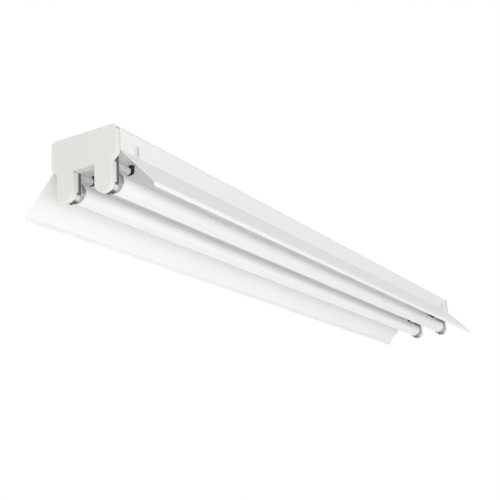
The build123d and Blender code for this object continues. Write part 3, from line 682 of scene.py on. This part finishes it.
# %% [markdown]
# ## Woven lead sleeve
# A light sleeve covers the wires where they leave each lampholder. Sleeving of this kind is glass
# yarn braided over a mandrel and varnished. Two sine waves that wind round the sleeve in opposite
# directions, one per set of yarns, make the braid; where both are low the gap between the yarns is
# painted darker as shade. The end that meets the boot is dipped black so that it doesn't fray; the
# distance along Y tells where that cuff begins.

# %% Finish: woven lead sleeve
YARN_PITCH, CUFF_LENGTH, FUZZ_SCALE = 1.1 * MM, 2.8 * MM, 900.0
YARN_PALE, YARN_FUZZ = shade(0.90, 0.895, 0.88), shade(0.85, 0.845, 0.825)
YARN_GAP_SHADE, CUFF_BLACK = shade(0.66, 0.655, 0.635), shade(0.010, 0.010, 0.010)

tree, shader = open_finish("woven sleeve")
spot = object_spot(tree)
axis = axes(tree, spot)
around = maths(tree, "ADD", axis["X"], axis["Z"])
yarns = [
    maths(tree, "SINE", maths(tree, "MULTIPLY", lean, 2 * math.pi / YARN_PITCH))
    for lean in (maths(tree, "ADD", axis["Y"], around), maths(tree, "SUBTRACT", axis["Y"], around))
]
braid = maths(tree, "MULTIPLY_ADD", maths(tree, "MAXIMUM", *yarns), 0.5, 0.5, clamp=True)
fuzz = noise(tree, spot, FUZZ_SCALE, 3.0)
# The gaps between the yarns are painted darker as shade.
colour = mix_colours(tree, braid, YARN_GAP_SHADE, mix_colours(tree, fuzz, YARN_PALE, YARN_FUZZ))
sleeve_end = -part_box("lead_sleeve_left_front")[1].y
cuff = maths(tree, "LESS_THAN", maths(tree, "ABSOLUTE", axis["Y"]), sleeve_end + CUFF_LENGTH)
colour = mix_colours(tree, cuff, colour, CUFF_BLACK)
rough = maths(tree, "MULTIPLY_ADD", fuzz, 0.2, 0.5)
close_finish(tree, shader, colour, rough, braid, 0.00015)
print("finish:", finishes["woven sleeve"].name, "with a cuff from", round(sleeve_end, 4), "m")

# %% [markdown]
# ## Dressing the nodes
# Each node of the model gets its finish by the start of its name, so left and right, front and back
# share one line. A node keeps its mesh; only its material slot changes. The first start that fits is
# taken, so the reflector's screws stand before the reflector, and the loop stops with an error if a
# node is missed.

# %% Put the finishes on the nodes
DRESS = {
    "channel": "channel powder coat", "end_plate_front": "end plate powder coat",
    "end_plate_back": "end plate powder coat", "reflector_screws": "reflector screw coat",
    "reflector": "reflector enamel", "lampholder_body": "lampholder plastic",
    "lampholder_cover": "lampholder plastic", "lampholder_contacts": "contact brass",
    "lampholder_rotor": "rotor plastic", "lead_sleeve": "woven sleeve",
    "lead_boot": "boot rubber", "tube_cap": "cap metal", "tube_pin_base": "pin base plastic",
    "tube_pins": "pin brass", "tube_diffuser": "frosted tube", "tube_spine": "spine aluminium",
    "tube_led_board": "board solder mask", "tube_leds": "phosphor gel",
    "tube_driver": "driver board", "live_leads": "black wire insulation",
    "neutral_leads": "white wire insulation", "wire_clips": "clip nylon",
    "cable_bushing": "bushing nylon", "terminal_block": "terminal plastic",
    "terminal_screws": "screw zinc", "end_plate_screws": "screw zinc",
    "earth_screw": "earth screw lacquer",
}

for node_name, node in fixture.items():
    start = next(prefix for prefix in DRESS if node_name.startswith(prefix))
    node.data.materials.clear()
    node.data.materials.append(finishes[DRESS[start]])
print("dressed nodes:", len(fixture))

# %% [markdown]
# ## Turned rings
# Caps, boots and screws are round, so they are made from a section that is turned or carried along a
# path. Spin and the Screw modifier both turn a section, but here the section's radius also has to
# change round the ring, for the crimps. A helper therefore lays ring after ring of points and bridges
# them with faces. Others smooth a mesh except at its creases, hang a piece on its body, and go through
# the four ends of the two tubes.

# %% Helpers: bridge rings of points into a closed skin and hang it
CREASE = math.radians(38)


def ring_angles(steps):
    return [2 * math.pi * k / steps for k in range(steps)]


def smooth(mesh):
    mesh.shade_smooth()
    mesh.set_sharp_from_angle(angle=CREASE)
    return mesh


def skin_rings(name, rings, closed=False):
    made = bmesh.new()
    rows = [[made.verts.new(point) for point in ring] for ring in rings]
    pairs = list(zip(rows, rows[1:])) + ([(rows[-1], rows[0])] if closed else [])
    for one, two in pairs:
        for k in range(len(one)):
            n = (k + 1) % len(one)
            made.faces.new((one[k], one[n], two[n], two[k]))
    if not closed:
        made.faces.new(rows[0])
        made.faces.new(rows[-1])
    bmesh.ops.recalc_face_normals(made, faces=made.faces[:])
    return smooth(settle(made, name))


def hang(name, mesh, finish_name, body, slot, *stands_for, place=(0, 0, 0)):
    mesh.materials.append(finishes[finish_name])
    piece = bpy.data.objects.new(name, mesh)
    piece.location = place
    scene.collection.objects.link(piece)
    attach(piece, body)
    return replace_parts(piece, *stands_for)


def four_ends(kind):
    for side in ("left", "right"):
        for end, inward in (("front", 1), ("back", -1)):
            low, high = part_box(f"{kind}_{side}_{end}")
            yield side, end, inward, low, high


print("ring helpers ready")

# %% [markdown]
# ## Tube caps
# A drawn metal cap closes each tube end. The real one has a rolled front edge round the insulating
# disc, two shallow beads that grip the tube and four crimped dimples between them. The section is
# walked from the front edge over the outside to the back and returns along the bore; the dimples push
# the middle of the wall in.

# %% Make the four tube caps
CAP_BORE = 12.8
CAP_SECTION = [
    (0.0, CAP_BORE), (0.0, 12.98), (0.06, 13.14), (0.2, 13.26), (0.4, 13.3), (1.0, 13.3),
    (1.25, 13.24), (1.5, 13.1), (1.7, 13.05), (1.9, 13.1), (2.15, 13.24), (2.4, 13.3),
    (2.7, 13.3), (3.0, 13.3), (3.2, 13.3), (3.4, 13.3), (3.6, 13.3), (3.8, 13.3), (4.1, 13.3),
    (4.4, 13.3), (4.65, 13.24), (4.9, 13.1), (5.1, 13.05), (5.3, 13.1), (5.55, 13.24),
    (5.8, 13.3), (6.5, 13.3), (6.8, 13.24), (6.96, 13.1), (7.0, 12.95), (7.0, CAP_BORE),
]
CAP_STEPS, QUARTER = 192, math.pi / 2
DIMPLE_PLACE, DIMPLE_REACH, DIMPLE_DEPTH = 3.4, 1.0, 0.4


def cap_point(along, radius, angle, inward):
    off = (angle + QUARTER / 2) % QUARTER - QUARTER / 2
    away = math.hypot(off * radius, along - DIMPLE_PLACE) / DIMPLE_REACH
    if radius > CAP_BORE and away < 1:
        radius -= DIMPLE_DEPTH * (1 - away * away) ** 2
    turn = angle + QUARTER / 2
    return (radius * math.cos(turn) * MM, inward * along * MM, radius * math.sin(turn) * MM)


for side, end, inward, low, high in four_ends("tube_cap"):
    node_name = f"tube_cap_{side}_{end}"
    face_y = low.y if inward > 0 else high.y
    rings = [[cap_point(a, r, t, inward) for t in ring_angles(CAP_STEPS)] for a, r in CAP_SECTION]
    cap = hang(
        f"crimped_cap_{side}_{end}", skin_rings(node_name, rings, closed=True), "cap metal",
        f"{side}_tube", "cap_aluminium", node_name,
        place=Vector(((low.x + high.x) / 2, face_y, (low.z + high.z) / 2)),
    )
print("caps, last at", [round(v, 4) for v in cap.location], "points:", len(cap.data.vertices))

# %% [markdown]
# ## Rubber boots
# Where the wires leave the sleeve they turn up through the reflector inside a black rubber elbow.
# Such boots are ribbed so that they bend without kinking, with a flange below the sheet and a lock
# ring above it. A curve with a bevel would give a plain hose; rings carried along the elbow can each
# have their own radius, which makes the ribs, the collar and the flange in one skin.

# %% Helper: rings along a ribbed elbow
BOOT_STRAIGHT, BOOT_ELBOW, BOOT_BORE_RADIUS = 2.0, 4.5, 2.0
BOOT_GROOVE, BOOT_RIB = 2.95, 3.4
BOOT_COLLAR = [(0.0, 3.15), (0.2, 3.35), (0.9, BOOT_RIB), (1.2, 3.1), (1.6, BOOT_GROOVE)]
BOOT_RISE = [
    (-5.1, BOOT_GROOVE), (-4.6, BOOT_RIB), (-4.0, BOOT_RIB), (-3.5, BOOT_GROOVE),
    (-2.9, BOOT_GROOVE), (-2.4, 3.2), (-1.2, 3.25), (-1.0, 3.85), (-0.85, 4.0), (-0.15, 4.0),
    (0.0, 3.9), (0.0, 2.95), (0.8, 2.95), (0.8, 3.5), (1.0, 3.7), (2.0, 3.45), (2.4, 3.0),
    (2.4, BOOT_BORE_RADIUS),
]
BOOT_RIBS, RINGS_PER_RIB, RIB_ROUNDNESS = 4, 6, 0.7
BOOT_STEPS, BORE_RINGS = 48, 12


def boot_rings(inward, start, under):
    rings = []

    def ring(along, height, tilt, radius):
        up = Vector((0, -math.sin(tilt) * inward, math.cos(tilt)))
        centre = Vector((0, inward * along, height))
        rings.append([
            start + (centre + radius * (Vector((math.cos(t), 0, 0)) + up * math.sin(t))) * MM
            for t in ring_angles(BOOT_STEPS)
        ])

    def elbow_ring(tilt, radius):
        along = BOOT_STRAIGHT + BOOT_ELBOW * math.sin(tilt)
        ring(along, BOOT_ELBOW * (1 - math.cos(tilt)), tilt, radius)

    ring(0.0, 0.0, 0.0, BOOT_BORE_RADIUS)
    for along, radius in BOOT_COLLAR:
        ring(along, 0.0, 0.0, radius)
    ribbed = BOOT_RIBS * RINGS_PER_RIB
    for k in range(ribbed + 1):
        wave = 0.5 - 0.5 * math.cos(2 * math.pi * k / RINGS_PER_RIB)
        swell = (BOOT_RIB - BOOT_GROOVE) * wave ** RIB_ROUNDNESS
        elbow_ring(QUARTER * k / ribbed, BOOT_GROOVE + swell)
    for height, radius in BOOT_RISE:
        ring(BOOT_STRAIGHT + BOOT_ELBOW, (under - start.z) / MM + height, QUARTER, radius)
    for k in range(BORE_RINGS, -1, -1):
        elbow_ring(QUARTER * k / BORE_RINGS, BOOT_BORE_RADIUS)
    return rings


print("ribs on a boot:", BOOT_RIBS)

# %% Make the four ribbed boots
SCREW_HEAD = 2.4

flat_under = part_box("reflector_screws")[0].z + SCREW_HEAD * MM
for side, end, inward, low, high in four_ends("lead_boot"):
    node_name = f"lead_boot_{side}_{end}"
    mouth_y = low.y if inward > 0 else high.y
    start = Vector(((low.x + high.x) / 2, mouth_y, low.z + BOOT_RIB * MM))
    skin = skin_rings(node_name, boot_rings(inward, start, flat_under), closed=True)
    boot = hang(
        f"ribbed_boot_{side}_{end}", skin, "boot rubber", "housing", "boot_black", node_name,
    )
print("boots with", len(boot.data.vertices), "points, underside at", round(flat_under, 4), "m")

# %% [markdown]
# ## Reflector screws
# Six pan-head screws hold the reflector under the channel's lips. The heads are domed with a cross
# recess. The recess could be drawn with a bump, but a close view from below would give that away, so
# a cross-shaped cutter is taken out of one head with a Boolean modifier, and the finished screw is
# copied to the six places.

# %% Cut the cross into one screw
SCREW_STEPS = 48
CROSS_LENGTH, CROSS_WIDTH, CROSS_HEIGHT = 4.2, 0.9, 2.6
screw_tip = (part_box("reflector_screws")[1].z - flat_under) / MM
SCREW_SECTION = [
    (-SCREW_HEAD, 0.6), (-2.37, 1.2), (-2.25, 2.0), (-2.0, 2.8), (-1.55, 3.4), (-0.9, 3.72),
    (-0.3, 3.8), (0.0, 3.74), (0.0, 2.0), (screw_tip - 1.0, 2.0), (screw_tip, 1.3),
]

cutter_shape = bmesh.new()
for wide, deep in ((CROSS_LENGTH, CROSS_WIDTH), (CROSS_WIDTH, CROSS_LENGTH)):
    bar = bmesh.ops.create_cube(cutter_shape, size=1.0)["verts"]
    bmesh.ops.scale(cutter_shape, vec=(wide * MM, deep * MM, CROSS_HEIGHT * MM), verts=bar)
    bmesh.ops.translate(cutter_shape, vec=(0, 0, -SCREW_HEAD * MM), verts=bar)
cutter = bpy.data.objects.new("cross_cutter", settle(cutter_shape, "cross_cutter"))
screw_rings = [
    [(r * math.cos(t) * MM, r * math.sin(t) * MM, z * MM) for t in ring_angles(SCREW_STEPS)]
    for z, r in SCREW_SECTION
]
blank = bpy.data.objects.new("screw_blank", skin_rings("screw_blank", screw_rings))
for made in (cutter, blank):
    scene.collection.objects.link(made)
cross = blank.modifiers.new("cross recess", "BOOLEAN")
cross.object = cutter
cross.operation = "DIFFERENCE"
cross.use_self = True
evaluated = blank.evaluated_get(bpy.context.evaluated_depsgraph_get())
one_screw = bpy.data.meshes.new_from_object(evaluated)
for spent in (blank, cutter):
    bpy.data.objects.remove(spent)
print("points in one screw:", len(one_screw.vertices))

# %% Copy the screw to its six places
SCREW_ASIDE, SCREW_SPACING = 43.2, 400
SCREW_PLACES = [
    (x * SCREW_ASIDE * MM, y * SCREW_SPACING * MM) for x in (-1, 1) for y in (-1, 0, 1)
]

all_screws = bmesh.new()
for x, y in SCREW_PLACES:
    known = len(all_screws.verts)
    all_screws.from_mesh(one_screw)
    all_screws.verts.ensure_lookup_table()
    added = all_screws.verts[known:]
    bmesh.ops.translate(all_screws, vec=(x, y, flat_under), verts=added)
hang(
    "cross_head_screws", smooth(settle(all_screws, "reflector_screw_set")), "reflector screw coat",
    "housing", "screw_white", "reflector_screws",
)
print("screws:", len(SCREW_PLACES))
